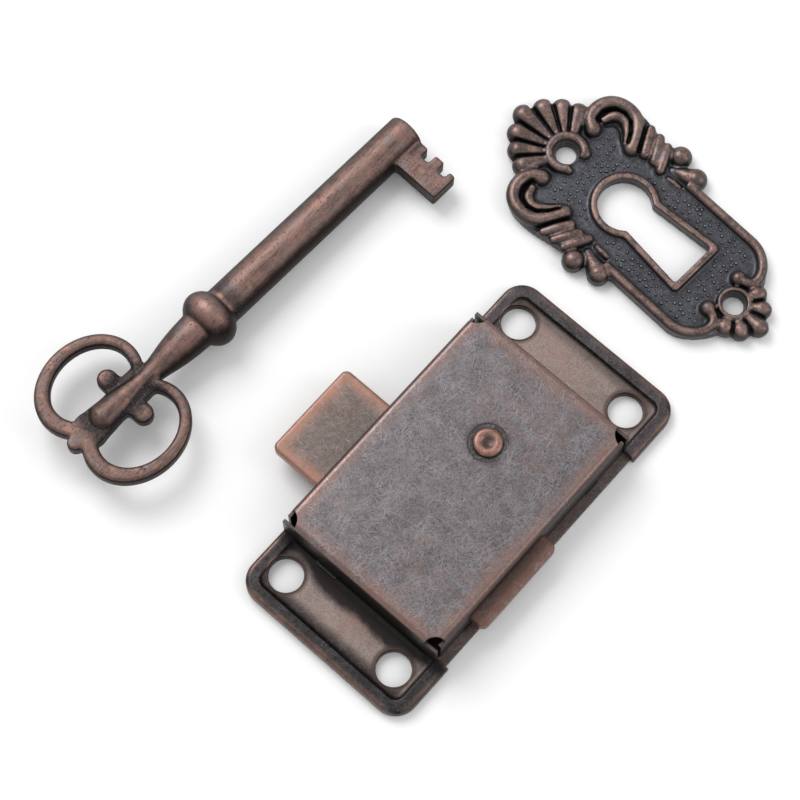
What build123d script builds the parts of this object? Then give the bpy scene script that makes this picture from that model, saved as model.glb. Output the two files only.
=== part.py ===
from build123d import *
import os
from math import asin, cos, degrees, pi, radians, sin, sqrt

# Drawer lock set: a rim lock with a pressed steel case, its pipe key and its cast keyhole plate,
# lying side by side on a flat surface. Millimetres.
# Row frame: origin at the centre of the lock's four screw holes, on its mounting face (the
# lowest face of the base plate). +Z points out of the mounting face, towards the case's top.
# +Y runs along the lock's long side, from the bolt's end of the case towards the key post.
# +X runs across the lock, away from the side where the bolt stands out.

# Lock case and base plate
sheet = 0.6              # thickness of the case's sheet
base_sheet = 0.9         # thickness of the base plate
plate_length = 70.0      # along Y, over the rolled rims
rim_left = 16.75         # from the screw centre line to the rim's edge on the bolt's side
rim_right = 18.05        # the same on the other side
rim_corner_r = 4.0
rim_width = 2.0
rim_rise = 0.6           # how far the rim stands above the recessed field
rim_round = 0.7
cove_r = 1.3             # soft wall from the rim down to the recessed field
rim_hollow = 0.95        # width of the hollow under the rim
lip_gap = 0.05           # between the rim's turned-down lip and the base plate's edge
screw_span_x = 23.1
screw_span_y = 57.3
screw_hole_d = 5.8       # in the base plate
flange_hole_d = 6.1      # in the case's flange, above it
case_width = 32.3        # across X
case_length = 47.2       # along Y
case_height = 9.3        # from the mounting face to the top face
case_shift = -0.35       # the case's centre line from the screw centre line
bend_r = 1.1             # outside radius of the case's top bends
foot_r = 0.8             # cove between the end walls and the flanges
notch_r = 2.4            # corner relief in the top face
notch_depth = 1.25
corner_gap = 0.7         # between a side wall's end and the end wall
tab_width = 3.0          # side wall tabs that pass through the base plate
tab_spread = 30.0
tab_gap = 0.05

# Key post and wards
post_y = 7.55            # from the screw centre
post_d = 3.5
post_tip_z = 1.0
post_shoulder_d = 6.0
post_shoulder_h = 0.7
rivet_d = 3.0
rivet_head_d = 5.0
rivet_head_h = 0.85
rivet_dimple_d = 2.7
rivet_dimple_depth = 0.42
rivet_dish_d = 6.6
rivet_dish_depth = 0.1
ward_sheet = 0.5
ward_ring_width = 0.8
ward_depth = 2.0         # of the rings below the disc
keyhole_clearance = 0.45

# Bolt
bolt_length = 45.4
bolt_width = 18.0
bolt_thick = 2.5
bolt_z = 3.0             # its lower face
spring_room = 7.85       # between the end wall and the bolt's edge
bolt_throw = 7.4
bolt_corner_r = 1.2
bolt_edge_r = 0.5
bolt_slot_gap = 0.12     # all round, in the side walls
talon_corner_r = 0.8
talon_clearance = 0.4
stud_d = 3.0
stud_shoulder_d = 4.6
stud_head_h = 0.7
stud_gap = 0.1

# Detent spring
leaf = 0.35              # strip thickness
leaf_z = 2.5
leaf_height = 3.5
leaf_wall_gap = 0.05
leaf_bend_d = 6.4        # outside width of the hairpin
leaf_bend_x = 9.0        # from the case's centre line to the hairpin's bend centre
leaf_foot_x = -10.2      # end of the leg that lies on the end wall
leaf_tail_x = -5.0       # free end of the other leg
bump_r = 1.1
bump_bite = 0.5          # how far the bump stands into the bolt's edge
detent_gap = 0.1
hook_width = 4.1         # tab of the spring that shows in the end wall's slit
hook_x = -6.8
hook_thick = 0.4
hook_reach = 0.45        # beyond the end wall's outer face
slit_gap = 0.08
spring_stud_gap = 0.55   # between the stud and the spring's bend

# Key
key_barrel_d = 6.9
key_bore_d = 3.9
key_bore_depth = 24.0
key_tip = 47.3           # from the bead's middle to the barrel's end
key_tip_r = 0.6
bead_d = 10.2
bead_half = 3.7          # half length of the bead, as an ellipse
bit_reach = 12.0         # from the key's axis
bit_thick = 3.4
bit_width = 5.9          # along the key's axis
bit_setback = 0.5        # behind the barrel's end
bit_notch_depth = 1.9
bit_notch_in = (5.2, 6.9)     # radii of the two notches
bit_notch_out = (8.85, 10.65)
bit_end_step = 0.6       # the outer tooth is this much shorter
bit_round = 0.35
shank_root_r = 3.3       # beside the bead
shank_root_x = -3.4
shank_mid_r = 2.68       # halfway to the neck
shank_neck_r = 1.85
shank_neck_x = -15.0
shank_end_r = 2.9
shank_end_x = -26.2
bow_x = -22.0            # centre of the bow's two loops, along the key
bow_y = 5.5              # and to each side
bow_outer = (9.75, 8.0)  # half axes
bow_inner = (7.3, 5.75)
bow_inner_x = -21.6
bow_thick = 2.8
bow_round = 0.65
curl_r = 1.75            # of the two curls beside the shank
curl_x = -19.2
curl_y = 4.15
curl_stem_y = 2.8
finial_r = 1.35
finial_x = -30.4
key_spot = (-49.28, -5.58)    # where the bead's middle lies beside the lock
key_turn = 87.8          # the way that the barrel points, from +X

# Keyhole plate, from its larger end's screw hole, along its length
esc_floor = 1.5          # thickness of the stippled field
esc_rim_h = 2.7          # top of the border
esc_rim_r = 0.9
esc_half = 10.2          # centre line of the straight borders
hook_r = 1.4             # ball at the border's hooked end
esc_screw_span = 38.5
esc_screw_d = 3.5
esc_collar_in = 4.9
esc_collar_out = 6.5
esc_collar_h = 2.6
esc_sink = 0.9           # floor left under the screw recess
esc_small_collar_in = 4.4
esc_small_collar_out = 5.8
slot_round_x = 13.6      # keyhole's round end
slot_round_r = 4.7
slot_neck_x = 17.0
slot_neck_half = 3.25
slot_end_x = 29.1
slot_end_half = 4.35
slot_bead_w = 1.25
slot_bead_h = 2.5
slot_corner_r = 0.9      # outer corners of the bead at the keyhole's square end
fan_spread = 20.5        # degrees between lobes
fan_reach = (12.0, 10.9, 10.1, 9.6)   # middle lobe first
fan_lobe_r = 1.9
tail_spread = 34.0
tail_reach = (7.4, 6.4, 6.0)
tail_lobe_r = 1.35
tail_top = 2.9
scroll_top = 3.2         # top of the scrolls, knobs and larger fan
scroll_w = 2.4           # width of the scrolls
scroll_r = 1.5           # their ball ends
knob_r = 2.0
knob_spot = (14.2, 13.2)
leaf_spot = (18.8, 12.0)
esc_spot = (-25.24, 57.0)
esc_turn = -3.43

# Worked out from the sizes above
half_length = plate_length / 2
field_z = base_sheet + sheet
rim_z = field_z + rim_rise
rim_mid_x = (rim_right - rim_left) / 2
rim_span_x = rim_right + rim_left
case_in_x = case_width / 2 - sheet
case_in_y = case_length / 2 - sheet
post_x = case_shift
bolt_low_y = spring_room - case_in_y
bolt_top_y = bolt_low_y + bolt_width
bolt_y = (bolt_low_y + bolt_top_y) / 2
bolt_x = post_x - bolt_throw / 2
post_to_bolt = post_y - bolt_top_y
talon_half = sqrt(bit_reach**2 - post_to_bolt**2) - bolt_throw / 2
talon_depth = bit_reach - post_to_bolt + talon_clearance
stud_y = (bolt_low_y + bolt_top_y - talon_depth) / 2
bolt_top_z = bolt_z + bolt_thick
spring_stud_d = leaf_bend_d - 2 * leaf - 2 * spring_stud_gap
keyhole_r = key_barrel_d / 2 + keyhole_clearance
keyhole_half = bit_thick / 2 + keyhole_clearance
keyhole_end_y = post_y + bit_reach + keyhole_clearance
ward_z = case_height - sheet - ward_sheet
lowest = 1.0             # how far cutting tools run past the faces that they cut


def block(x0, x1, y0, y1, z0, z1):
    """Box given by its faces."""
    return Pos((x0 + x1) / 2, (y0 + y1) / 2, (z0 + z1) / 2) * Box(x1 - x0, y1 - y0, z1 - z0)


def drum(x, y, r, z0, z1):
    """Upright cylinder between two heights."""
    return Pos(x, y, (z0 + z1) / 2) * Cylinder(r, z1 - z0)


def rim_plan(inset, z0, z1):
    """Upright solid on the plate's outline, drawn in by inset."""
    r = rim_corner_r - inset
    plan = RectangleRounded(rim_span_x - 2 * inset, plate_length - 2 * inset, r)
    return Pos(rim_mid_x, 0, z0) * extrude(plan, amount=z1 - z0)


def screw_holes(d, z0, z1):
    """The four screw holes as one cutting tool."""
    spots = GridLocations(screw_span_x, screw_span_y, 2, 2)
    return Part() + [s * drum(0, 0, d / 2, z0, z1) for s in spots]


def side_tabs(gap):
    """The four tabs of the side walls, or with a gap the slots that they pass through."""
    tabs = Part()
    for side in (-1, 1):
        wall = case_shift + side * (case_width - sheet) / 2
        for y in (-tab_spread / 2, tab_spread / 2):
            half_x = sheet / 2 + gap
            half_y = tab_width / 2 + gap
            tabs += block(wall - half_x, wall + half_x, y - half_y, y + half_y, 0, base_sheet)
    return tabs


def make_case():
    """Case: a box bent from one sheet, with a recessed flange and rolled rim at each end."""
    flange = rim_plan(0, lip_gap, rim_z)
    flange = fillet(flange.edges().group_by(Axis.Z)[-1], rim_round)
    pocket = rim_plan(rim_width, field_z, rim_z + lowest)
    pocket = fillet(pocket.edges().group_by(Axis.Z)[0], cove_r)
    flange -= pocket
    flange -= rim_plan(sheet, -lowest, base_sheet)
    flange -= rim_plan(sheet, base_sheet, field_z) - rim_plan(sheet + rim_hollow, base_sheet, field_z)
    flange -= block(-rim_left, rim_right, -case_in_y, case_in_y, -lowest, rim_z + lowest)
    flange -= screw_holes(flange_hole_d, -lowest, rim_z + lowest)

    box = Pos(case_shift, 0, base_sheet) * extrude(
        Rectangle(case_width, case_length), amount=case_height - base_sheet
    )
    box = fillet(box.edges().group_by(Axis.Z)[-1], bend_r)
    for end in (-1, 1):
        foot = block(
            -case_width / 2 + rim_width, case_width / 2 - rim_width, -foot_r / 2, foot_r / 2, 0, foot_r
        )
        round_off = Pos(0, foot_r / 2, foot_r) * Rot(0, 90, 0) * Cylinder(foot_r, case_width)
        cove = Rot(0, 0, 0 if end > 0 else 180) * (foot - round_off)
        box += Pos(case_shift, end * (case_length + foot_r) / 2, field_z) * cove
    hollow = Pos(case_shift, 0, -lowest) * extrude(
        Rectangle(2 * case_in_x, 2 * case_in_y), amount=case_height - sheet + lowest
    )
    hollow = fillet(hollow.edges().group_by(Axis.Z)[-1], bend_r - sheet)
    case = box + flange - hollow

    for sx in (-1, 1):
        wall = case_shift + sx * case_width / 2
        inner = wall - sx * (sheet + tab_gap)
        outer = wall + sx * tab_gap
        slot = block(
            min(inner, outer), max(inner, outer),
            bolt_low_y - bolt_slot_gap, bolt_top_y + bolt_slot_gap,
            bolt_z - bolt_slot_gap, bolt_top_z + bolt_slot_gap,
        )
        case -= fillet(slot.edges().filter_by(Axis.X), bolt_slot_gap + bolt_edge_r / 2)
        for sy in (-1, 1):
            near, far = sorted((sy * (case_in_y - corner_gap), sy * case_in_y))
            case -= block(
                min(inner, outer), max(inner, outer), near, far, base_sheet - lowest, case_height - bend_r
            )
            corner = drum(wall, sy * case_length / 2, notch_r, case_height - notch_depth, case_height + 1)
            case -= corner
    case += side_tabs(0)
    case -= drum(post_x, post_y, rivet_d / 2, ward_z, case_height + 1)
    case -= drum(post_x, post_y, rivet_dish_d / 2, case_height - rivet_dish_depth, case_height + 1)
    case -= hook_tab(slit_gap)
    return case


def hook_tab(gap):
    """Spring tab that hooks through the end wall's foot, or with a gap the slit for it."""
    half = hook_width / 2 + gap
    z = field_z + slit_gap
    y_in = -case_in_y + leaf_wall_gap + leaf
    y_out = -case_length / 2 - hook_reach - 4 * gap
    x = case_shift + hook_x
    return block(x - half, x + half, y_out, y_in, z - gap, z + hook_thick + gap)


def make_base_plate():
    """Base plate with its keyhole, screw holes and the slots for the case's tabs."""
    plate = rim_plan(sheet + lip_gap, 0, base_sheet)
    plate -= screw_holes(screw_hole_d, -lowest, base_sheet + lowest)
    plate -= side_tabs(tab_gap)
    plate -= drum(post_x, post_y, keyhole_r, -lowest, base_sheet + lowest)
    slot = block(
        post_x - keyhole_half, post_x + keyhole_half, post_y, keyhole_end_y, -lowest, base_sheet + lowest
    )
    plate -= fillet(slot.edges().filter_by(Axis.Z), talon_corner_r)
    plate -= drum(post_x, stud_y, stud_d / 2, -lowest, base_sheet + lowest)
    plate -= drum(*spring_stud_spot(), stud_d / 2, -lowest, base_sheet + lowest)
    return plate


def make_bolt():
    """Bolt with the talon notch for the bit, the stud's slot and two detent notches."""
    bar = Pos(bolt_x, bolt_y, bolt_z) * extrude(
        RectangleRounded(bolt_length, bolt_width, bolt_corner_r), amount=bolt_thick
    )
    bar = fillet(bar.edges().group_by(Axis.Z)[-1] + bar.edges().group_by(Axis.Z)[0], bolt_edge_r)
    past = bolt_top_z + lowest
    talon = block(
        bolt_x - talon_half, bolt_x + talon_half, bolt_top_y - talon_depth, bolt_top_y + lowest * 4,
        bolt_z - lowest, past,
    )
    bar -= fillet(talon.edges().filter_by(Axis.Z), talon_corner_r)
    slot_r = stud_d / 2 + stud_gap
    slot = SlotCenterToCenter(bolt_throw, 2 * slot_r)
    bar -= Pos(bolt_x, stud_y, bolt_z - lowest) * extrude(slot, amount=bolt_thick + 2 * lowest)
    for x in (post_x, post_x - bolt_throw):
        bar -= drum(x, bump_y(), bump_r + detent_gap, bolt_z - lowest, past)
    return bar


def make_key_post():
    """Key post: pin, shoulder under the wards, and the tail riveted over the case's top."""
    shoulder_z = ward_z - post_shoulder_h
    pin = drum(0, 0, post_d / 2, post_tip_z, shoulder_z)
    pin = fillet(pin.edges().group_by(Axis.Z)[0], post_d / 5)
    post = pin + drum(0, 0, post_shoulder_d / 2, shoulder_z, ward_z)
    head_z = case_height - rivet_dish_depth
    post += drum(0, 0, rivet_d / 2, ward_z, head_z)
    head = drum(0, 0, rivet_head_d / 2, head_z, head_z + rivet_head_h)
    head = fillet(head.edges().group_by(Axis.Z)[-1], rivet_head_h * 0.8)
    ball_r = (rivet_dimple_d**2 / 4 + rivet_dimple_depth**2) / (2 * rivet_dimple_depth)
    dimple_z = head_z + rivet_head_h - rivet_dimple_depth + ball_r
    return Pos(post_x, post_y, 0) * (post + head - Pos(0, 0, dimple_z) * Sphere(ball_r))


def make_ward_plate():
    """Ward plate: a disc clamped under the case's top, with two ring wards."""
    disc_r = bit_notch_out[1] + ward_ring_width
    plate = drum(0, 0, disc_r, ward_z, ward_z + ward_sheet)
    for inner, outer in (bit_notch_in, bit_notch_out):
        mid = (inner + outer) / 2
        ring = drum(0, 0, mid + ward_ring_width / 2, ward_z - ward_depth, ward_z)
        plate += ring - drum(0, 0, mid - ward_ring_width / 2, ward_z - ward_depth, ward_z)
    plate -= drum(0, 0, rivet_d / 2, ward_z, ward_z + ward_sheet)
    return Pos(post_x, post_y, 0) * plate


def make_guide_stud():
    """Guide stud: carries the bolt on its shoulder and stops it at both ends of its slot."""
    under = bolt_z - stud_gap
    over = bolt_top_z + stud_gap
    stud = drum(0, 0, stud_d / 2, 0, over)
    stud += drum(0, 0, stud_shoulder_d / 2, base_sheet, under)
    head = drum(0, 0, stud_shoulder_d / 2, over, over + stud_head_h)
    stud += fillet(head.edges().group_by(Axis.Z)[-1], stud_head_h / 2)
    return Pos(post_x, stud_y, 0) * stud


def leg_y():
    """Middle of the spring's leg on the end wall, and of the leg beside the bolt."""
    on_wall = -case_in_y + leaf_wall_gap + leaf / 2
    return on_wall, on_wall + leaf_bend_d - leaf


def bump_y():
    """Centre of the spring's bump, so that it stands bump_bite into the bolt's edge."""
    return bolt_low_y + bump_bite - bump_r


def make_detent_spring():
    """Detent spring: a hairpin of flat strip with a bump that drops into the bolt's notches."""
    wall_y, free_y = leg_y()
    bend_r_mid = (leaf_bend_d - leaf) / 2
    bend_x = case_shift + leaf_bend_x
    legs = [
        block(case_shift + end_x, bend_x, y - leaf / 2, y + leaf / 2, 0, leaf_height)
        for end_x, y in ((leaf_foot_x, wall_y), (leaf_tail_x, free_y))
    ]
    bend = drum(bend_x, wall_y + bend_r_mid, bend_r_mid + leaf / 2, 0, leaf_height)
    bend -= drum(bend_x, wall_y + bend_r_mid, bend_r_mid - leaf / 2, 0, leaf_height)
    bend -= block(bend_x - leaf_bend_d, bend_x, wall_y - lowest, free_y + lowest, 0, leaf_height)
    bump = drum(post_x, bump_y(), bump_r, 0, leaf_height) - drum(
        post_x, bump_y(), bump_r - leaf, 0, leaf_height
    )
    bump -= block(
        post_x - 2 * bump_r, post_x + 2 * bump_r, bump_y() - 2 * bump_r, free_y - leaf / 2, 0, leaf_height
    )
    under_bump = bump_r - leaf
    legs[1] -= block(
        post_x - under_bump, post_x + under_bump, free_y - leaf, free_y + leaf, 0, leaf_height
    )
    strip = Pos(0, 0, leaf_z) * (legs[0] + bend + legs[1] + bump)
    x = case_shift + hook_x
    drop = block(
        x - hook_width / 2, x + hook_width / 2, wall_y - leaf / 2, wall_y + leaf / 2,
        field_z + slit_gap, leaf_z,
    )
    return strip + drop + hook_tab(0)


def spring_stud_spot():
    """Where the stud inside the spring's bend stands."""
    return case_shift + leaf_bend_x, leg_y()[0] + (leaf_bend_d - leaf) / 2


def make_spring_stud():
    """Stud on the base plate that the spring's bend hooks round."""
    stud = drum(0, 0, stud_d / 2, 0, base_sheet)
    body = drum(0, 0, spring_stud_d / 2, base_sheet, leaf_z + leaf_height)
    stud += fillet(body.edges().group_by(Axis.Z)[-1], stud_head_h / 2)
    return Pos(*spring_stud_spot(), 0) * stud


def key_barrel():
    """Barrel, bead and shank as one turned form along X, the bead's middle at 0."""
    bead_r = bead_d / 2
    barrel_r = key_barrel_d / 2
    first = asin(barrel_r / bead_r)
    sweep_angle = pi - asin(shank_root_r / bead_r) - first
    angles = [first + sweep_angle * step / 6 for step in range(7)]
    bead = [(bead_half * cos(angle), bead_r * sin(angle)) for angle in angles]
    barrel = Pos(key_tip / 2, 0, 0) * Rot(0, 90, 0) * Cylinder(barrel_r, key_tip)
    barrel = fillet(barrel.edges().group_by(Axis.X)[-1], key_tip_r)
    profile = Polyline((bead[0][0], 0), bead[0])
    profile += Spline(*bead)
    profile += Polyline(bead[-1], (shank_root_x, shank_root_r))
    profile += Spline(
        (shank_root_x, shank_root_r),
        ((shank_root_x + shank_neck_x) / 2, shank_mid_r),
        (shank_neck_x, shank_neck_r),
        tangents=((-1, -0.05), (-1, 0)),
    )
    profile += Spline(
        (shank_neck_x, shank_neck_r),
        ((shank_neck_x + shank_end_x) / 2, (shank_neck_r + shank_end_r) / 2),
        (shank_end_x, shank_end_r),
        tangents=((-1, 0), (-1, 0.05)),
    )
    profile += ThreePointArc(
        (shank_end_x, shank_end_r),
        (shank_end_x - 0.9, shank_end_r * 0.72),
        (shank_end_x - 1.2, 0),
    )
    profile += Line((shank_end_x - 1.2, 0), (bead[0][0], 0))
    return barrel + revolve(make_face(profile), Axis.X)


def key_bow():
    """Flat bow: two loops that end in curls beside the shank, and the finial."""
    bow = Part()
    for side in (-1, 1):
        ring = Pos(bow_x, side * bow_y) * Ellipse(*bow_outer)
        ring -= Pos(bow_inner_x, side * bow_y) * Ellipse(*bow_inner)
        loop = extrude(ring, amount=bow_thick / 2, both=True)
        bow += fillet(loop.edges(), bow_round)
        curl = Pos(curl_x, side * curl_y, 0) * Cylinder(curl_r, bow_thick)
        bow += fillet(curl.edges().filter_by(GeomType.CIRCLE), bow_round)
        stem_y = sorted((0, side * (curl_y - curl_r / 4)))
        bow += block(curl_x - curl_r, curl_x + curl_r, *stem_y, -bow_thick * 0.4, bow_thick * 0.4)
        stem_y = sorted((0, side * curl_stem_y))
        bow += block(curl_x, bow_x + bow_inner[0], *stem_y, -bow_thick * 0.4, bow_thick * 0.4)
    finial = Pos(finial_x, 0, 0) * Cylinder(finial_r, bow_thick)
    bow += fillet(finial.edges().filter_by(GeomType.CIRCLE), bow_round / 2)
    bow += block(finial_x, shank_end_x, -finial_r, finial_r, -bow_thick * 0.4, bow_thick * 0.4)
    return bow


def key_bit():
    """Bit: a flat blade with two notches in its front edge."""
    front = key_tip - bit_setback
    rear = front - bit_width
    past = bit_thick
    bit = block(rear, front, -bit_reach, 0, -bit_thick / 2, bit_thick / 2)
    bit -= block(front - bit_end_step, front + 1, -bit_reach, -bit_notch_out[1], -past, past)
    bit = fillet(bit.edges().group_by(Axis.Y)[0], bit_round)
    for inner, outer in (bit_notch_in, bit_notch_out):
        bit -= block(front - bit_notch_depth, front + 1, -outer, -inner, -past, past)
    return bit


def make_key():
    """Pipe key, one casting, lying on its bead and on the end of its barrel."""
    bow = key_bow()
    key = key_barrel() + bow + key_bit()
    bore = Rot(0, 90, 0) * Cylinder(key_bore_d / 2, key_bore_depth)
    key -= Pos(key_tip - key_bore_depth / 2, 0, 0) * bore
    tilt = degrees(asin((bead_d - key_barrel_d) / 2 / key_tip))
    key = Rot(0, 0, key_turn) * Rot(0, tilt, 0) * key
    lift = -key.bounding_box().min.Z
    return Pos(*key_spot, lift) * key


def lobe(a, b, ra, rb, z):
    """Tapered rod from one plan point to another at height z, with a ball at its far end."""
    run = Vector(b[0] - a[0], b[1] - a[1], 0)
    body = Plane(origin=(a[0], a[1], z), z_dir=run) * Pos(0, 0, run.length / 2) * Cone(ra, rb, run.length)
    return body + Pos(b[0], b[1], z) * Sphere(rb)


def rod(a, b, ra, rb, z):
    """The same with a ball at each end."""
    return lobe(a, b, ra, rb, z) + Pos(a[0], a[1], z) * Sphere(ra)


def tube(points, r, z, lead=None):
    """Round bead swept along a smooth plan curve, which may start with a straight run from lead."""
    spots = [(x, y, z) for x, y in points]
    if lead:
        straight = Line((*lead, z), spots[0])
        path = Wire([straight.edge(), Spline(*spots, tangents=(straight % 1, (-1, -0.4))).edge()])
    else:
        path = Spline(*spots)
    start = Plane(origin=path @ 0, z_dir=path % 0)
    return sweep(start * Circle(r), path=path)


def fused(pieces):
    """One solid from a list, joined in order."""
    whole = pieces[0]
    for piece in pieces[1:]:
        whole += piece
    return whole


def fan(x, heading, spread, reach, root, lobe_r, top):
    """Rounded lobes that fan out from a screw hole's collar, the longest in the middle."""
    lobes = []
    for step in range(-len(reach) + 1, len(reach)):
        turn = radians(heading + step * spread)
        out = reach[abs(step)] - lobe_r
        inner = (x + root * cos(turn), root * sin(turn))
        outer = (x + out * cos(turn), out * sin(turn))
        lobes.append(lobe(inner, outer, lobe_r / 2, lobe_r, top - lobe_r))
    return lobes


def esc_outline():
    """Half of the keyhole plate's outline, without the fans and the knobs."""
    edge = esc_half + esc_rim_r
    corner_x = esc_screw_span - 5.5
    scroll = Spline(
        (-3.1, 7.5), (-3.1, 9.6), (-2.0, 12.1), (0.2, 13.8), (3.2, 14.35), (8.0, 13.8), (13.0, 13.0),
    )
    border = Polyline((13.0, 13.0), (19.0, 11.6), (21.0, edge), (corner_x, edge))
    corner = Spline(
        (corner_x, edge), (corner_x + 3.3, edge - 1.0), (corner_x + 5.8, edge - 3.4),
        (corner_x + 7.1, edge - 5.9), tangents=((1, 0), (0.3, -1)),
    )
    close = Polyline(
        (corner_x + 7.1, edge - 5.9), (esc_screw_span, 3.0), (esc_screw_span, 0), (-3.1, 0), (-3.1, 7.5)
    )
    return make_face(scroll + border + corner + close)


def slot_plan(grow):
    """Keyhole's outline, widened by grow."""
    plan = Pos(slot_round_x, 0) * Circle(slot_round_r + grow)
    slope = (slot_end_half - slot_neck_half) / (slot_end_x - slot_neck_x)
    end_half = slot_end_half + slope * grow + grow
    start_half = slot_neck_half - slope * (slot_neck_x - slot_round_x) + grow
    slot = Polyline(
        (slot_round_x, start_half), (slot_end_x + grow, end_half),
        (slot_end_x + grow, -end_half), (slot_round_x, -start_half), close=True,
    )
    return plan + make_face(slot)


def esc_half_solid():
    """One side of the plate: field, border, scrolls, ribs, knobs and leaves."""
    rim_z = esc_rim_h - esc_rim_r
    corner_x = esc_screw_span - 5.5
    border = [
        (corner_x, esc_half), (corner_x + 3.4, esc_half - 1.1), (corner_x + 5.2, esc_half - 3.3),
        (corner_x + 5.4, esc_half - 5.0), (corner_x + 4.2, esc_half - 6.2),
    ]
    scroll = [
        (0.3, 6.3), (-1.7, 7.8), (-2.0, 9.9), (-0.9, 12.1),
        (1.6, 13.2), (4.2, 12.8), (6.0, 11.0), (7.3, 8.2),
    ]
    ridge = [(0.3, 8.4), (0.8, 10.0), (2.2, 10.9), (4.0, 10.3), (5.3, 9.2)]
    ribs = ((7.2, 13.2, 9.6, 9.0), (9.4, 13.1, 11.7, 9.2), (11.5, 12.8, 13.5, 8.7))
    pieces = [
        extrude(esc_outline(), amount=esc_floor),
        tube(border, esc_rim_r, rim_z, lead=(18.5, esc_half)),
        Pos(corner_x + 3.0, 3.75, rim_z) * Sphere(hook_r),
        tube(scroll, scroll_w / 2, scroll_top - scroll_w / 2),
        Pos(*scroll[0], scroll_top - scroll_r) * Sphere(scroll_r),
        Pos(*scroll[-1], scroll_top - scroll_r) * Sphere(scroll_r),
        tube(ridge, scroll_w / 4, scroll_top - scroll_w / 2),
        Pos(*ridge[-1], scroll_top - scroll_w / 2) * Sphere(scroll_w / 4),
    ]
    for x0, y0, x1, y1 in ribs:
        pieces.append(rod((x0, y0), (x1, y1), 0.75, 0.85, scroll_top - scroll_w / 2))
    pieces.append(Pos(*knob_spot, scroll_top - knob_r) * Sphere(knob_r))
    pieces.append(rod(leaf_spot, (14.9, 10.4), knob_r, 0.8, scroll_top - knob_r))
    pieces.append(rod((15.4, 8.7), (17.8, 8.8), 0.45, 0.55, esc_floor + 0.2))
    return fused(pieces) - block(-20, 60, -20, 20, -5, 0)


def esc_end(x, inner, outer, lobes, web_r):
    """Field, fan lobes and screw collar at one end of the plate."""
    collar = drum(x, 0, outer / 2, 0, esc_collar_h)
    collar = fillet(collar.edges().group_by(Axis.Z)[-1], (outer - inner) * 0.2)
    end = fused([collar, drum(x, 0, web_r, 0, esc_floor)] + lobes)
    return end - block(-20, 60, -20, 20, -5, 0)


def make_escutcheon():
    """Keyhole plate: one casting with a stippled field, raised borders and scrolls."""
    half = esc_half_solid()
    lobes = fan(0, 180, fan_spread, fan_reach, esc_collar_in / 2, fan_lobe_r, scroll_top)
    tail = fan(esc_screw_span, 0, tail_spread, tail_reach, esc_small_collar_in / 2, tail_lobe_r, tail_top)
    bead = extrude(slot_plan(slot_bead_w), amount=slot_bead_h)
    bead = fillet(bead.edges().filter_by(Axis.Z).group_by(Axis.X)[-1], slot_corner_r)
    plate = fused([
        half,
        mirror(half, about=Plane.XZ),
        esc_end(0, esc_collar_in, esc_collar_out, lobes, fan_reach[-1] - fan_lobe_r),
        esc_end(
            esc_screw_span, esc_small_collar_in, esc_small_collar_out, tail, tail_reach[-1] - tail_lobe_r
        ),
        fillet(bead.edges().group_by(Axis.Z)[-1], slot_bead_w * 0.4),
    ])
    for x, inner in ((0, esc_collar_in), (esc_screw_span, esc_small_collar_in)):
        sink = Cone(esc_screw_d / 2, inner / 2, esc_collar_h - esc_sink)
        plate -= Pos(x, 0, (esc_sink + esc_collar_h) / 2) * sink
        plate -= drum(x, 0, inner / 2, esc_collar_h, esc_collar_h + lowest)
        plate -= drum(x, 0, esc_screw_d / 2, -lowest, esc_collar_h)
    plate -= extrude(slot_plan(0), amount=esc_collar_h * 2)
    return Pos(*esc_spot, 0) * Rot(0, 0, esc_turn) * plate


PIECES = {
    "case": make_case,
    "base_plate": make_base_plate,
    "bolt": make_bolt,
    "key_post": make_key_post,
    "ward_plate": make_ward_plate,
    "guide_stud": make_guide_stud,
    "detent_spring": make_detent_spring,
    "spring_stud": make_spring_stud,
    "key": make_key,
    "escutcheon": make_escutcheon,
}

os.makedirs("parts", exist_ok=True)
for name, make in PIECES.items():
    export_step(make(), f"parts/{name}.step")
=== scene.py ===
import random
from math import asin, copysign, cos, hypot, pi, radians, sin, sqrt

import bmesh
import bpy
from bpy.props import FloatProperty, FloatVectorProperty, IntProperty, PointerProperty
from mathutils import Matrix, Vector


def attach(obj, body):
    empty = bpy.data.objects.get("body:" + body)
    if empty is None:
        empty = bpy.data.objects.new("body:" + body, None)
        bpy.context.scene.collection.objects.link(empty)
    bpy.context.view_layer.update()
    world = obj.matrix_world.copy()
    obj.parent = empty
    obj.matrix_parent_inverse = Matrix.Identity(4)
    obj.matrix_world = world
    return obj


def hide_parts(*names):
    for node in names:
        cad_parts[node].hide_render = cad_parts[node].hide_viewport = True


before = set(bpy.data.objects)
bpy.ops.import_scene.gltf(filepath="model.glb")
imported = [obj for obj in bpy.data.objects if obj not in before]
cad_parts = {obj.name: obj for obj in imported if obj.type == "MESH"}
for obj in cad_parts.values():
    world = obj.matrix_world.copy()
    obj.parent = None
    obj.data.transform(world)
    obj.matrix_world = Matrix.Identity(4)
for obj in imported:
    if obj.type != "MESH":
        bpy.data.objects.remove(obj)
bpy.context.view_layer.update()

bl_info = {
    "name": "Drawer Lock Set",
    "version": (1, 0, 0),
    "blender": (4, 5, 0),
    "location": "3D View > Sidebar > Lock",
    "description": "Finishes a drawer lock, its pipe key and its keyhole plate",
    "category": "Object",
}

MM = 0.001

# Places on the lock, in millimetres from the middle of its four screw holes
POST = (-0.35, 7.55)
SCREW_HOLE = (11.55, 28.65)
HOLE_RING_R = 3.13
FLANGE_Z = 1.5
BOLT_MIDDLE = (-4.05, -6.15)

# Middle of the whole set, which the camera looks at
SET_MIDDLE = (-17.63, 5.85, 0)

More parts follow.
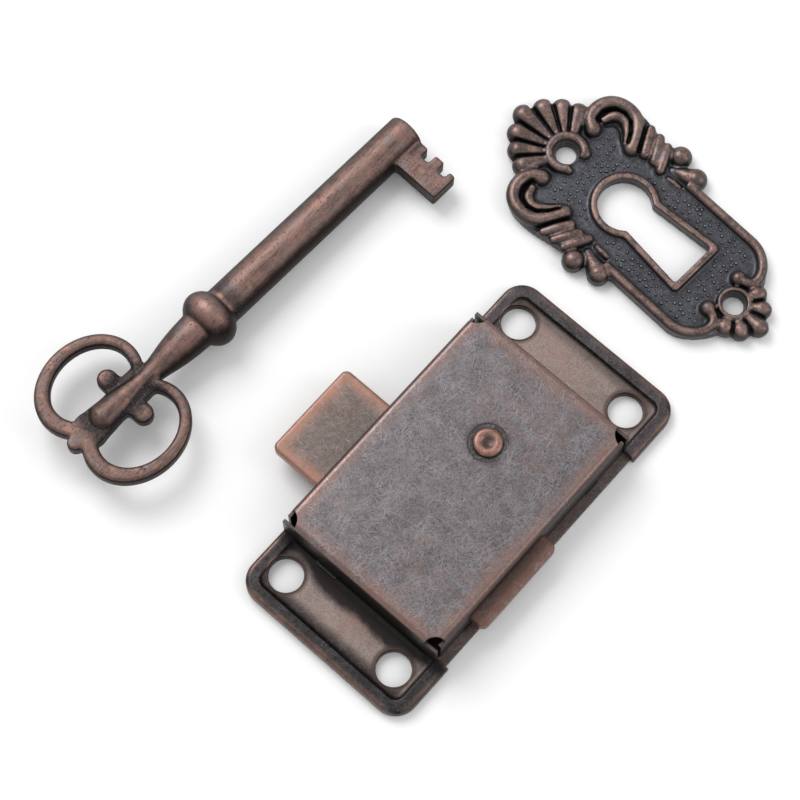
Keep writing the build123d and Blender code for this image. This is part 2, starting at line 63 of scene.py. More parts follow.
# Lamps: place in metres to the right of, ahead of and above the set's middle, size, share of the power
LAMPS = (
    ("lamp_main", (-0.25, 0.35, 0.55), (0.4, 0.4), 1.0),
    ("lamp_side", (0.5, -0.1, 0.35), (0.2, 0.4), 0.25),
)

# Faces of the lock that have a border: middle along x, then half the size along x and along y
CASE_TOP = (-0.35, 16.15, 23.6)
LOCK_PLATE = (0.65, 17.4, 35.0)
BOLT_FACE = (0.0, 22.7, 9.0)

# The key, in millimetres from the middle of its bead
BARREL_R = 3.45
BEAD_STEP = 1.65
KEY_TIP = 47.3
FINIAL_X = -30.4
NECK_X = -27.0
NECK_R = 2.9
BOW_HALF = 1.4
SHANK_END = (-23.4, -26.8)
SHANK_R = 2.95

# The keyhole plate, in millimetres from the screw hole of its larger end
PLATE_FIELD_Z = 1.5
SCREW_SPAN = 38.5
KEYHOLE_X = 13.6
FAN_SPREAD = 20.5
FAN_REACH = (12.0, 10.9, 10.1, 9.6)
TAIL_SPREAD = 34.0
TAIL_REACH = (7.38, 6.45, 6.05)
TAIL_GAP_REACH = (7.6, 6.6, 6.2)
COLLAR_R = 3.1

# Round spots (x, distance from the long axis, radius) and ends that the stippled field leaves out
PLAIN_SPOTS = ((0, 0, 3.9), (SCREW_SPAN, 0, 3.5), (KEYHOLE_X, 0, 6.5), (36.0, 3.75, 2.1), (7.4, 7.9, 2.1))
FIELD_ENDS = (2.9, 37.2)

# Ornament on one side of the plate, as stations (x, y, z, radius); the other side mirrors it
LEAVES = (
    [(15.0, 8.8, 1.5, 0.25), (16.5, 8.8, 1.7, 0.62), (18.1, 8.9, 1.5, 0.25)],
    [(12.5, 8.5, 1.5, 0.3), (13.4, 8.4, 1.7, 0.6), (14.4, 8.5, 1.5, 0.3)],
)
SCROLL_ROLL = [
    (0.5, 8.7, 1.85, 0.7), (0.8, 10.1, 2.0, 0.9), (2.0, 11.1, 2.05, 1.0), (3.5, 11.0, 2.05, 1.0),
    (4.8, 9.9, 2.0, 0.95), (5.8, 8.3, 1.85, 0.8),
]
RIBS = (
    [(7.2, 13.2, 1.8, 0.9), (8.4, 11.1, 2.05, 1.0), (9.6, 9.0, 1.9, 0.95)],
    [(9.4, 13.1, 1.8, 0.9), (10.6, 11.1, 2.05, 1.0), (11.7, 9.2, 1.9, 0.95)],
    [(11.5, 12.8, 1.8, 0.85), (12.5, 10.8, 2.05, 0.95), (13.5, 8.7, 1.9, 0.9)],
)

# Grooves on one side of the plate: their line, width, depth and lowest height
SCROLL_CHANNEL = (
    [(-0.5, 7.9), (-0.7, 9.8), (0.4, 11.5), (2.2, 12.0), (4.0, 11.5), (5.4, 10.0), (6.3, 8.4)], 0.32, 1.0, 1.2
)
ROLL_GROOVE = ([(1.1, 8.3), (1.9, 9.5), (2.9, 9.8), (4.2, 9.2), (5.3, 8.0)], 0.34, 1.0, 1.4)
RIB_GROOVE = ([(6.0, 13.5), (8.1, 9.6), (8.6, 8.6)], 0.36, 0.9, 1.4)


# Properties

def colour(name, description, default):
    return FloatVectorProperty(
        name=name, description=description, subtype="COLOR", size=4, min=0, max=1, default=default
    )


def length(name, description, default):
    return FloatProperty(
        name=name, description=description, unit="LENGTH", precision=5, min=0, default=default
    )


def softening():
    return IntProperty(
        name="Softening", description="Smoothing passes over the casting", min=0, max=20, default=2
    )


class LockFinish(bpy.types.PropertyGroup):
    patina: colour("Patina", "Grey-mauve of the worn top of the case", (0.186, 0.166, 0.176, 1))
    patina_dark: colour("Dark patina", "Darker clouds in the patina", (0.094, 0.084, 0.084, 1))
    copper: colour("Copper", "Copper that shows along bends and edges", (0.245, 0.138, 0.110, 1))
    bright: colour("Bright copper", "Copper at the bolt's worn border", (0.335, 0.172, 0.125, 1))
    brown: colour("Brown", "Flat parts of the flanges", (0.275, 0.212, 0.190, 1))
    rim: colour("Rim", "Dark grey of the rolled rims", (0.060, 0.052, 0.053, 1))
    # near-black for the blackening in hollows, and for painted shade on the coves, side walls, near end of
    # the flanges and inside the screw holes, and for the painted reflection of the end wall
    black: colour("Blackening and painted shade", "Blackened hollows and side walls", (0.014, 0.012, 0.012, 1))
    scratch: colour("Scratches", "Hair scratches over the patina", (0.330, 0.325, 0.350, 1))
    steel: colour("Steel", "Bare dull steel inside the case", (0.300, 0.290, 0.280, 1))
    wear: FloatProperty(name="Edge wear", description="How far the copper is worn bright", subtype="FACTOR",
                        min=0, max=1, default=0.75)
    ring: length("Hole ring", "Thickness of the rolled ring at each screw hole", 0.22 * MM)


class KeyFinish(bpy.types.PropertyGroup):
    copper: colour("Copper", "Worn copper on the key's high parts", (0.275, 0.170, 0.145, 1))
    brown: colour("Brown", "Body colour of the casting", (0.130, 0.086, 0.076, 1))
    # near-black for the blackening in hollows and recesses, with painted shade there too
    black: colour("Blackening and painted shade", "Blackened hollows and flanks", (0.016, 0.014, 0.014, 1))
    # grey of the cool patches on the copper, and of the painted sheen specks in the dark places
    grey: colour("Grey", "Grey cast and specks over the copper", (0.150, 0.152, 0.160, 1))
    warm: colour("Warm copper", "Redder patches of the copper", (0.330, 0.180, 0.140, 1))
    voxel: length("Casting detail", "Smallest form that the casting keeps", 0.20 * MM)
    softening: softening()


class PlateFinish(bpy.types.PropertyGroup):
    copper: colour("Copper", "Tops and shaded flanks of the ornament", (0.272, 0.180, 0.158, 1))
    brown: colour("Brown", "Shoulders of the ornament", (0.096, 0.078, 0.075, 1))
    warm: colour("Warm copper", "Redder patches of the rubbed tops", (0.300, 0.165, 0.130, 1))
    field: colour("Field", "Dark ground between the ornament", (0.064, 0.065, 0.075, 1))
    # near-black for the blackening in grooves and pits, with painted shade in the grooves too
    black: colour("Blackening and painted shade", "Blackened grooves and flanks", (0.016, 0.016, 0.018, 1))
    voxel: length("Casting detail", "Smallest form that the casting keeps", 0.20 * MM)
    softening: softening()
    dot: length("Dot radius", "Radius of the raised dots on the field", 0.28 * MM)
    dot_pitch: length("Dot spacing", "Usual distance between the dots", 1.24 * MM)


class StageSettings(bpy.types.PropertyGroup):
    azimuth: FloatProperty(name="Azimuth", description="Camera's turn about the lock", unit="ROTATION",
                           default=radians(41.5))
    elevation: FloatProperty(name="Elevation", description="Camera's height angle", unit="ROTATION",
                             default=radians(72.2))
    distance: length("Distance", "Camera to the middle of the set", 409.16 * MM)
    lens: FloatProperty(name="Lens", description="Focal length on a 36 mm sensor, in millimetres",
                        default=111.8)
    sky: FloatProperty(name="Sky", description="Strength of the even light", min=0, default=0.72)
    lamp: FloatProperty(name="Lamp", description="Power of the large soft lamp", min=0, default=2.6)
    floor: colour("Floor", "Colour of the floor", (0.93, 0.93, 0.93, 1))


# Where the loose pieces lie

PLATE_PLACE = Matrix.Translation(Vector((-25.24, 57.0, 0)) * MM) @ Matrix.Rotation(radians(-3.43), 4, "Z")
KEY_TILT = asin(BEAD_STEP / KEY_TIP)
KEY_LIFT = BARREL_R * cos(KEY_TILT) + BEAD_STEP
KEY_PLACE = (
    Matrix.Translation(Vector((-49.28, -5.58, KEY_LIFT)) * MM)
    @ Matrix.Rotation(radians(87.8), 4, "Z")
    @ Matrix.Rotation(KEY_TILT, 4, "Y")
)


# Mesh helpers; sizes are in millimetres and the finished mesh is in metres

def ball(bm, spot, r):
    bmesh.ops.create_icosphere(bm, subdivisions=2, radius=r, matrix=Matrix.Translation(spot))


def taper(bm, a, b, ra, rb, sides=20):
    """Cone or rod from a to b."""
    a, b = Vector(a), Vector(b)
    turn = (b - a).to_track_quat("Z", "Y").to_matrix().to_4x4()
    place = Matrix.Translation((a + b) / 2) @ turn
    bmesh.ops.create_cone(
        bm, cap_ends=True, segments=sides, radius1=ra, radius2=rb, depth=(b - a).length, matrix=place
    )


def limb(bm, stations):
    """Round form through stations (x, y, z, radius), with a ball at each."""
    for p, q in zip(stations, stations[1:]):
        taper(bm, p[:3], q[:3], p[3], q[3])
    for s in stations:
        ball(bm, Vector(s[:3]), s[3])


def smooth_path(stations, steps):
    """More stations on a smooth curve through the given ones."""
    rows = [Vector(s) for s in stations]
    ends = [2 * rows[0] - rows[1]] + rows + [2 * rows[-1] - rows[-2]]
    out = []
    for a, b, c, d in zip(ends, ends[1:], ends[2:], ends[3:]):
        for k in range(steps):
            t = k / steps
            out.append(0.5 * (2 * b + (c - a) * t + (2 * a - 5 * b + 4 * c - d) * t**2
                              + (3 * b - a - 3 * c + d) * t**3))
    return out + [rows[-1]]


def cad_form(node, place):
    """Copy of a CAD node's mesh in its own axes, in millimetres."""
    bm = bmesh.new()
    bm.from_mesh(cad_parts[node].data)
    bmesh.ops.remove_doubles(bm, verts=bm.verts, dist=1e-6)
    bmesh.ops.transform(bm, matrix=Matrix.Scale(1 / MM, 4) @ place.inverted(), verts=bm.verts)
    return bm


def new_object(name, bm):
    """New object in the scene from bm, which is freed."""
    mesh = bpy.data.meshes.new(name)
    bm.to_mesh(mesh)
    bm.free()
    obj = bpy.data.objects.new(name, mesh)
    bpy.context.scene.collection.objects.link(obj)
    return obj


def cast(bm, voxel, passes):
    """One skin over everything in bm, softened as a casting is."""
    rough = new_object("rough_casting", bm)
    remesh = rough.modifiers.new("skin", "REMESH")
    remesh.mode = "VOXEL"
    remesh.voxel_size = voxel
    remesh.adaptivity = 0
    skin = bpy.data.meshes.new_from_object(rough.evaluated_get(bpy.context.evaluated_depsgraph_get()))
    bpy.data.objects.remove(rough)
    out = bmesh.new()
    out.from_mesh(skin)
    bpy.data.meshes.remove(skin)
    soften(out, passes)
    return out


def press(bm, lines, width, depth, floor):
    """Presses rounded grooves along lines of (x, y) points, no lower than floor.

    The width is one value, or a pair for the two ends of each run.
    """
    first, last = width if isinstance(width, tuple) else (width, width)
    raised = [v for v in bm.verts if v.co.z > floor]
    for line in lines:
        for (ax, ay), (bx, by) in zip(line, line[1:]):
            run = hypot(bx - ax, by - ay)
            ux, uy = (bx - ax) / run, (by - ay) / run
            most = max(first, last)
            left, right = min(ax, bx) - most, max(ax, bx) + most
            low, high = min(ay, by) - most, max(ay, by) + most
            for v in raised:
                x, y, z = v.co
                if left < x < right and low < y < high:
                    along = min(max((x - ax) * ux + (y - ay) * uy, 0), run)
                    away = hypot(x - ax - along * ux, y - ay - along * uy)
                    wide = first + (last - first) * along / run
                    if away < wide:
                        target = max(floor, z - depth * 0.5 * (1 + cos(pi * away / wide)))
                        v.co.z = min(z, target)


def soften(bm, passes):
    """Rounds the whole mesh off a little."""
    for _ in range(passes):
        bmesh.ops.smooth_vert(
            bm, verts=bm.verts, factor=0.5, use_axis_x=True, use_axis_y=True, use_axis_z=True
        )


def finish_piece(name, bm, place, body, material, nodes=()):
    """Turns bm, in millimetres and in its own axes, into a finished piece at its place."""
    bmesh.ops.transform(bm, matrix=place @ Matrix.Scale(MM, 4), verts=bm.verts)
    bmesh.ops.recalc_face_normals(bm, faces=bm.faces)
    for face in bm.faces:
        face.smooth = True
    obj = new_object(name, bm)
    obj.data.materials.append(material)
    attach(obj, body)
    if nodes:
        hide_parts(*nodes)


# Node helpers

def put(tree, kind, values=None, links=None, **settings):
    """New node with its settings, socket values and links."""
    node = tree.nodes.new(kind)
    for key, value in settings.items():
        setattr(node, key, value)
    for key, value in (values or {}).items():
        node.inputs[key].default_value = value
    for key, source in (links or {}).items():
        tree.links.new(source, node.inputs[key])
    return node


def fill(tree, socket, value):
    """Links a socket to another one, or sets its value."""
    if hasattr(value, "is_linked"):
        tree.links.new(value, socket)
    else:
        socket.default_value = value


def maths(tree, operation, a, b=0.0, c=None, clamp=False):
    node = put(tree, "ShaderNodeMath", operation=operation, use_clamp=clamp)
    for socket, value in zip(node.inputs, (a, b, c)):
        if value is not None:
            fill(tree, socket, value)
    return node.outputs[0]


def times(tree, a, b):
    return maths(tree, "MULTIPLY", a, b)


def either(tree, a, b):
    """The stronger of two masks."""
    return maths(tree, "MAXIMUM", a, b)


def absolute(tree, value):
    return maths(tree, "ABSOLUTE", value)


def mixed(tree, factor, a, b):
    """Colour a, turned into colour b by the factor."""
    node = put(tree, "ShaderNodeMix", data_type="RGBA")
    for index, value in ((0, factor), (6, a), (7, b)):
        fill(tree, node.inputs[index], value)
    return node.outputs[2]


def between(tree, value, low, high, to_low=0.0, to_high=1.0):
    """Value eased from one range to another."""
    node = put(tree, "ShaderNodeMapRange", interpolation_type="SMOOTHSTEP", links={0: value})
    for index, end in enumerate((low, high, to_low, to_high), 1):
        fill(tree, node.inputs[index], end)
    return node.outputs[0]


def noise(tree, vector, scale, detail=4.0, roughness=0.55, distortion=0.0):
    node = put(tree, "ShaderNodeTexNoise", links={"Vector": vector},
               values={"Detail": detail, "Roughness": roughness, "Distortion": distortion})
    fill(tree, node.inputs["Scale"], scale)
    return node.outputs["Fac"]


def axes(tree, vector):
    """The vector's x, y and z."""
    return put(tree, "ShaderNodeSeparateXYZ", links={0: vector}).outputs


def facing(tree):
    """The way that the surface faces, as x, y and z."""
    return axes(tree, put(tree, "ShaderNodeNewGeometry").outputs["Normal"])


def place_vector(tree, vector, spot=(0, 0, 0), turn=(0, 0, 0), size=(1, 1, 1)):
    node = put(tree, "ShaderNodeMapping", values={"Location": spot, "Rotation": turn, "Scale": size},
               links={"Vector": vector})
    return node.outputs[0]


def own_axes(tree, coords, place):
    """Coordinates in a loose piece's own axes, in metres."""
    home = place.inverted()
    return axes(tree, place_vector(tree, coords, spot=home.translation, turn=home.to_euler()))


def plan_distance(tree, x, y, spot):
    """Distance in plan from a spot that is given in millimetres."""
    dx = maths(tree, "SUBTRACT", x, spot[0] * MM)
    dy = maths(tree, "SUBTRACT", y, spot[1] * MM)
    return maths(tree, "SQRT", maths(tree, "ADD", times(tree, dx, dx), times(tree, dy, dy)))


def effect(name, inputs, outputs):
    """New shared effect, with its input and output nodes."""
    tree = bpy.data.node_groups.new(name, "ShaderNodeTree")
    for label, kind, default in inputs:
        socket = tree.interface.new_socket(name=label, in_out="INPUT", socket_type=kind)
        if default is not None:
            socket.default_value = default
    for label, kind in outputs:
        tree.interface.new_socket(name=label, in_out="OUTPUT", socket_type=kind)
    return tree, tree.nodes.new("NodeGroupInput"), tree.nodes.new("NodeGroupOutput")


# Shared effects

FLOAT = "NodeSocketFloat"
VECTOR = "NodeSocketVector"
SCRATCH_TURNS = (8, 37, 64, 92, 119, 151)


def make_hair_scratches():
    """Fine bent scratches that cross in all directions."""
    tree, given, out = effect(
        "Hair scratches", [("Vector", VECTOR, None), ("Threshold", FLOAT, 0.60)], [("Mask", FLOAT)]
    )
    vector, threshold = given.outputs[0], given.outputs[1]
    bend = put(tree, "ShaderNodeTexNoise", values={"Scale": 260.0, "Detail": 1.0}, links={"Vector": vector})
    shift = put(tree, "ShaderNodeVectorMath", operation="MULTIPLY_ADD",
                values={1: (0.0026, 0.0026, 0)}, links={0: bend.outputs["Color"], 2: vector})
    top = maths(tree, "ADD", threshold, 0.10)
    total = 0.0
    for k, turn in enumerate(SCRATCH_TURNS):
        laid = place_vector(tree, shift.outputs[0], turn=(0, 0, radians(turn)))
        long = place_vector(tree, laid, spot=(3.1 * k, 5.7 * k, 0), size=(6400, 420, 700))
        total = either(tree, total, between(tree, noise(tree, long, 1.0, 1.0), threshold, top))
    patches = between(tree, noise(tree, vector, 320.0, 2.0), 0.35, 0.65, 0.35, 1.0)
    tree.links.new(times(tree, total, patches), out.inputs[0])


def make_clouds():
    """Soft and fine clouds of tarnish."""
    tree, given, out = effect(
        "Clouds", [("Vector", VECTOR, None), ("Scale", FLOAT, 200.0)], [("Mask", FLOAT)]
    )
    vector, scale = given.outputs[0], given.outputs[1]
    wide = noise(tree, vector, scale, 5.0, 0.62, 0.4)
    fine = noise(tree, vector, times(tree, scale, 6.0), 3.0, 0.7)
    both = maths(tree, "MULTIPLY_ADD", fine, 0.45, times(tree, wide, 0.55))
    tree.links.new(between(tree, both, 0.36, 0.64), out.inputs[0])


def make_casting_skin():
    """Pits and grain of a casting: mask of the pits, and height for a bump."""
    tree, given, out = effect(
        "Casting skin",
        [("Vector", VECTOR, None), ("Scale", FLOAT, 900.0)],
        [("Pits", FLOAT), ("Height", FLOAT)],
    )
    vector, scale = given.outputs[0], given.outputs[1]
    cells = put(tree, "ShaderNodeTexVoronoi", links={"Vector": vector, "Scale": scale},
                values={"Randomness": 1.0})
    where = noise(tree, vector, 330.0, 2.0)
    near = between(tree, cells.outputs["Distance"], 0.10, 0.30, 1.0, 0.0)
    pits = times(tree, near, between(tree, where, 0.42, 0.58))
    grain = noise(tree, vector, 2200.0, 3.0, 0.6)
    tree.links.new(pits, out.inputs[0])
    tree.links.new(maths(tree, "SUBTRACT", times(tree, grain, 0.5), pits), out.inputs[1])


def make_worn_edges():
    """Mask of the outer edges, from how far a rounded normal leaves the true one."""
    tree, given, out = effect(
        "Worn edges", [("Radius", FLOAT, 0.0004)], [("Mask", FLOAT), ("Normal", VECTOR)]
    )
    soft = put(tree, "ShaderNodeBevel", samples=6, links={"Radius": given.outputs[0]})
    true = put(tree, "ShaderNodeNewGeometry")
    dot = put(tree, "ShaderNodeVectorMath", operation="DOT_PRODUCT",
              links={0: soft.outputs[0], 1: true.outputs["Normal"]})
    turned = maths(tree, "SUBTRACT", 1.0, dot.outputs["Value"])
    tree.links.new(between(tree, turned, 0.01, 0.22), out.inputs[0])
    tree.links.new(soft.outputs[0], out.inputs[1])


def make_hollows():
    """Mask of grooves and inner corners, where blackening stays and where shade is painted."""
    tree, given, out = effect(
        "Hollows", [("Reach", FLOAT, 0.0015), ("Depth", FLOAT, 0.7)], [("Mask", FLOAT)]
    )
    reach, depth = given.outputs[0], given.outputs[1]
    open_sky = put(tree, "ShaderNodeAmbientOcclusion", samples=8, links={"Distance": reach})
    shut = maths(tree, "SUBTRACT", 1.0, open_sky.outputs["AO"])
    mask = maths(tree, "MULTIPLY", shut, maths(tree, "DIVIDE", 1.0, depth), clamp=True)
    tree.links.new(mask, out.inputs[0])


def make_tops_and_shaded_flanks():
    """Mask of surfaces that face up or down, rubbed bright by handling; the flanks that it leaves out are
    painted dark, as wear and as painted shade.
    """
    tree, given, out = effect(
        "Tops and shaded flanks",
        [("Vector", VECTOR, None), ("Start", FLOAT, 0.45), ("End", FLOAT, 0.92)],
        [("Mask", FLOAT)],
    )
    vector, start, end = given.outputs[0], given.outputs[1], given.outputs[2]
    up = absolute(tree, facing(tree)[2])
    ragged = maths(tree, "MULTIPLY_ADD", noise(tree, vector, 700.0, 4.0, 0.65), 0.24, up)
    tree.links.new(between(tree, maths(tree, "SUBTRACT", ragged, 0.12), start, end), out.inputs[0])


def make_border_band():
    """Distance inwards from the sides of an upright box, as a mask that is 1 at the sides."""
    tree, given, out = effect(
        "Border band",
        [("Vector", VECTOR, None), ("Centre X", FLOAT, 0.0), ("Half X", FLOAT, 0.016),
         ("Half Y", FLOAT, 0.023), ("Width", FLOAT, 0.002)],
        [("Mask", FLOAT), ("Distance", FLOAT)],
    )
    vector, centre_x, half_x, half_y, width = given.outputs[:5]
    parts = axes(tree, vector)
    x = absolute(tree, maths(tree, "SUBTRACT", parts[0], centre_x))
    y = absolute(tree, parts[1])
    inwards = maths(tree, "MINIMUM", maths(tree, "SUBTRACT", half_x, x), maths(tree, "SUBTRACT", half_y, y))
    ratio = maths(tree, "DIVIDE", inwards, width)
    tree.links.new(between(tree, ratio, 0.0, 1.0, 1.0, 0.0), out.inputs[0])
    tree.links.new(inwards, out.inputs[1])


def shared_effects():
    if "Hair scratches" not in bpy.data.node_groups:
        for make in (make_hair_scratches, make_clouds, make_casting_skin, make_worn_edges, make_hollows,
                     make_tops_and_shaded_flanks, make_border_band):
            make()


def use(tree, name, values=None, links=None):
    """Places a shared effect in a material."""
    return put(tree, "ShaderNodeGroup", values, links, node_tree=bpy.data.node_groups[name])


def clouds_over(tree, coords, scale):
    return use(tree, "Clouds", {"Scale": scale}, {"Vector": coords}).outputs[0]


def scratches_over(tree, coords, threshold):
    return use(tree, "Hair scratches", {"Threshold": threshold}, {"Vector": coords}).outputs[0]


def worn_edges(tree, radius):
    """Mask of the worn edges, and the normal with rounded edges."""
    return use(tree, "Worn edges", {"Radius": radius}).outputs


def border(tree, vector, box, width):
    """Mask of a box's border and distance inwards from its sides; box and width are in millimetres."""
    values = {"Centre X": box[0] * MM, "Half X": box[1] * MM, "Half Y": box[2] * MM, "Width": width * MM}
    return use(tree, "Border band", values, {"Vector": vector}).outputs


def hollows(tree, reach, depth):
    return use(tree, "Hollows", {"Reach": reach, "Depth": depth}).outputs[0]


def tops_and_shaded_flanks(tree, coords, start, end):
    return use(tree, "Tops and shaded flanks", {"Start": start, "End": end}, {"Vector": coords}).outputs[0]


# Materials

def new_material(name):
    """New material with its coordinates and shader, or the one of that name."""
    shared_effects()
    mat = bpy.data.materials.get(name)
    if mat:
        return mat, None, None, None
    mat = bpy.data.materials.new(name)
    mat.use_nodes = True
    tree = mat.node_tree
    tree.nodes.clear()
    coords = tree.nodes.new("ShaderNodeTexCoord").outputs["Object"]
    shader = tree.nodes.new("ShaderNodeBsdfPrincipled")
    out = tree.nodes.new("ShaderNodeOutputMaterial")
    tree.links.new(shader.outputs[0], out.inputs[0])
    return mat, tree, coords, shader


def coat(tree, shader, base, metallic, roughness):
    """Gives the shader its colour, its metal and its roughness."""
    tree.links.new(base, shader.inputs["Base Color"])
    shader.inputs["Metallic"].default_value = metallic
    tree.links.new(roughness, shader.inputs["Roughness"])


def bump(tree, shader, height, distance, strength, normal=None):
    node = put(tree, "ShaderNodeBump", values={"Distance": distance, "Strength": strength},
               links={"Height": height})
    if normal is not None:
        tree.links.new(normal, node.inputs["Normal"])
    tree.links.new(node.outputs[0], shader.inputs["Normal"])


def shade(tint, factor):
    """A colour made darker or lighter."""
    return tuple(min(1, c * factor) for c in tint[:3]) + (1,)


def mottled(tree, clouds, grain, sharp=2.0, soft=0.6, shift=-0.80):
    """Clouds broken up by a sharp grain."""
    haze = maths(tree, "MULTIPLY_ADD", clouds, soft, shift)
    return maths(tree, "MULTIPLY_ADD", grain, sharp, haze, clamp=True)


def case_top(tree, f, coords, axis, mottle, blotch, top):
    """Grey-mauve patina, with copper along the bends and a dark halo round the rivet."""
    band = border(tree, coords, CASE_TOP, 3.9)[0]
    patina = mixed(tree, mottle, f.patina_dark, f.patina)
    patina = mixed(tree, times(tree, between(tree, blotch, 0.62, 0.95), 0.22), patina, f.copper)
    warm = times(tree, times(tree, band, top), between(tree, blotch, 0.0, 0.8, 0.40, 0.88))
    patina = mixed(tree, warm, patina, f.copper)
    halo = between(tree, plan_distance(tree, axis[0], axis[1], POST), 0.0028, 0.0044, 0.8, 0.0)
    return mixed(tree, halo, patina, shade(f.rim, 0.7))


def flange_wall_reflection(tree, axis, blotch):
    """Painted reflection of the dark end wall, in black on the near flange at the foot of the wall."""
    off_wall = maths(tree, "MULTIPLY_ADD", blotch, 0.0008, times(tree, axis[1], -1.0))
    off_middle = absolute(tree, maths(tree, "SUBTRACT", axis[0], 0.0020))
    reach = maths(tree, "MULTIPLY_ADD", between(tree, off_middle, 0.0070, 0.0135), 0.0017, off_wall)
    wall_reflection = between(tree, reach, 0.0262, 0.0280, 0.96, 0.0)
    return times(tree, wall_reflection, between(tree, axis[1], -0.0236, -0.0230, 1.0, 0.0))


def case_flange(tree, f, coords, axis, mottle, clouds, blotch, cove, wall_reflection):
    """Brown field of the flanges, their dark rims and the rings of the screw holes, with painted shade in the
    coves, on the near rim, at the near end and round and inside the screw holes, and the painted reflection
    of the end wall.
    """
    inwards = border(tree, coords, LOCK_PLATE, 5.0)[1]
    field = mixed(tree, mottle, shade(f.brown, 0.62), shade(f.brown, 1.12))
    field = mixed(tree, between(tree, blotch, 0.3, 0.9, 0.0, 0.35), field, f.copper)
    rim = mixed(tree, mottle, shade(f.rim, 0.50), shade(f.rim, 1.35))
    # near rim painted darker, as painted shade
    rim = mixed(tree, between(tree, axis[1], -0.0245, -0.0235, 0.60, 0.0), rim, f.black)
    # dark band on the slope from the rim down to the field, and black in the coves: painted shade
    flange = mixed(tree, between(tree, inwards, 0.0030, 0.0050, 0.60, 0.0), field, shade(f.brown, 0.18))
    flange = mixed(tree, times(tree, cove, 0.93), flange, f.black)
    # near end of the flanges painted black, as painted shade
    near_end_shade = between(tree, times(tree, axis[1], -1.0), 0.0296, 0.0322, 0.0, 0.88)
    flange = mixed(tree, near_end_shade, flange, f.black)
    flange = mixed(tree, between(tree, axis[2], 0.00195, 0.00208), flange, rim)
    outer_edge = mixed(tree, clouds, shade(f.brown, 0.30), shade(f.copper, 0.85))
    flange = mixed(tree, between(tree, inwards, 0.0003, 0.0012, 0.90, 0.0), flange, outer_edge)
    # painted reflection of the end wall, in black
    flange = mixed(tree, wall_reflection, flange, f.black)
    from_hole = plan_distance(tree, absolute(tree, axis[0]), absolute(tree, axis[1]), SCREW_HOLE)
    # dark band round each screw hole: painted shade in the trough
    flange = mixed(tree, between(tree, from_hole, 0.0033, 0.0040, 0.75, 0.0), flange, shade(f.brown, 0.20))
    flange = mixed(tree, between(tree, from_hole, 0.00322, 0.00330, 0.85, 0.0), flange, shade(f.copper, 0.85))
    # black inside each screw hole: painted shade
    return mixed(tree, between(tree, from_hole, 0.00306, 0.00312, 1.0, 0.0), flange, f.black)


def case_material():
    f = bpy.context.scene.lock_finish
    mat, tree, coords, shader = new_material("case_patina")
    if tree is None:
        return mat
    axis = axes(tree, coords)
    normal = facing(tree)
    clouds = clouds_over(tree, coords, 230.0)
    blotch = clouds_over(tree, coords, 70.0)
    grain = noise(tree, coords, 3900.0, 2.0, 0.6)
    scratches = scratches_over(tree, coords, 0.60)
    edge, rounded = worn_edges(tree, 0.00030)
    mottle = mottled(tree, clouds, grain, 2.8, 0.50, -1.13)
    top = between(tree, axis[2], 0.0079, 0.0088)
    walls = between(tree, axis[2], 0.0021, 0.0026)
    cove = between(tree, axis[2], 0.00150, 0.00175)
    wall_reflection = flange_wall_reflection(tree, axis, blotch)

    base = case_flange(tree, f, coords, axis, mottle, clouds, blotch, cove, wall_reflection)
    base = mixed(tree, walls, base, shade(f.brown, 0.36))
    base = mixed(tree, top, base, case_top(tree, f, coords, axis, mottle, blotch, top))
    shown = maths(tree, "MULTIPLY_ADD", top, 0.27, maths(tree, "MULTIPLY_ADD", wall_reflection, -0.10, 0.12))
    base = mixed(tree, times(tree, scratches, shown), base, f.scratch)
    wear = maths(tree, "MULTIPLY_ADD", top, f.wear * 0.7, f.wear * 0.3)
    base = mixed(tree, times(tree, edge, wear), base, f.copper)

    # faces turned to -x painted darker: painted shade
    left = times(tree, normal[0], -1.0)
    base = mixed(tree, between(tree, left, 0.15, 0.8, 0.0, 0.6), base, shade(f.brown, 0.2))
    # upright walls above the flange painted black: painted shade
    upright = between(tree, absolute(tree, normal[2]), 0.15, 0.80, 0.86, 0.0)
    upright = times(tree, upright, between(tree, axis[2], 0.0019, 0.0024))
    base = mixed(tree, upright, base, f.black)
    # faces turned to +x painted black: painted shade
    base = mixed(tree, between(tree, normal[0], 0.25, 0.85, 0.0, 0.55), base, f.black)
    # hollows painted black: blackening and painted shade
    base = mixed(tree, times(tree, hollows(tree, 0.0020, 0.75), 0.95), base, f.black)

    rough = maths(tree, "MULTIPLY_ADD", mottle, 0.14, 0.38)
    rough = maths(tree, "SUBTRACT", rough, times(tree, cove, 0.08))
    rough = maths(tree, "SUBTRACT", rough, times(tree, scratches, 0.05))
    coat(tree, shader, base, 0.8, rough)
    relief = maths(tree, "SUBTRACT", times(tree, grain, 0.8), times(tree, scratches, 0.5))
    bump(tree, shader, relief, 0.00003, 0.4, rounded)
    return mat


def base_material():
    f = bpy.context.scene.lock_finish
    mat, tree, coords, shader = new_material("base_sheet_dark")
    if tree is None:
        return mat
    clouds = clouds_over(tree, coords, 190.0)
    grain = noise(tree, coords, 5200.0, 2.0, 0.6)
    edge, rounded = worn_edges(tree, 0.0002)
    mottle = mottled(tree, clouds, grain)
    base = mixed(tree, mottle, shade(f.brown, 0.30), shade(f.brown, 0.72))
    base = mixed(tree, between(tree, clouds, 0.5, 1.0, 0.0, 0.4), base, shade(f.copper, 0.8))
    base = mixed(tree, times(tree, scratches_over(tree, coords, 0.61), 0.35), base, f.scratch)
    # upright faces of the base plate, with the walls of its bores, painted black: painted shade
    level = absolute(tree, facing(tree)[2])
    base = mixed(tree, between(tree, level, 0.2, 0.7, 0.9, 0.0), base, f.black)
    base = mixed(tree, times(tree, edge, 0.4), base, shade(f.copper, 0.6))
    coat(tree, shader, base, 0.8, maths(tree, "MULTIPLY_ADD", mottle, 0.15, 0.4))
    bump(tree, shader, grain, 0.00003, 0.4, rounded)
    return mat


